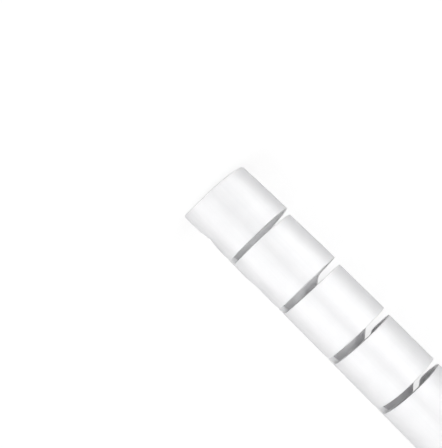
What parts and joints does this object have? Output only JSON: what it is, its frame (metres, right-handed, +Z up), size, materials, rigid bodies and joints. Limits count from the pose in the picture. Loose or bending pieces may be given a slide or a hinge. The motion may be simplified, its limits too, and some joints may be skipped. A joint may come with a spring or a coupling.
{
  "type": "spiral cable wrap",
  "caption": "Flexible plastic sleeve formed by a stepped spiral band that wraps round a bundle of cables and lets a cable branch out between its turns.",
  "frame": {"origin": "on the surface the sleeve lies on, below the middle of its length", "axes": "+X along the sleeve, from the end that the picture shows; +Z up, away from the flat it lies on"},
  "size_m": [1, 0.025, 0.025],
  "materials": {
    "wrap": "satin"
  },
  "bodies": {
    "root": {"spiral_wrap": "wrap"}
  },
  "joints": []
}
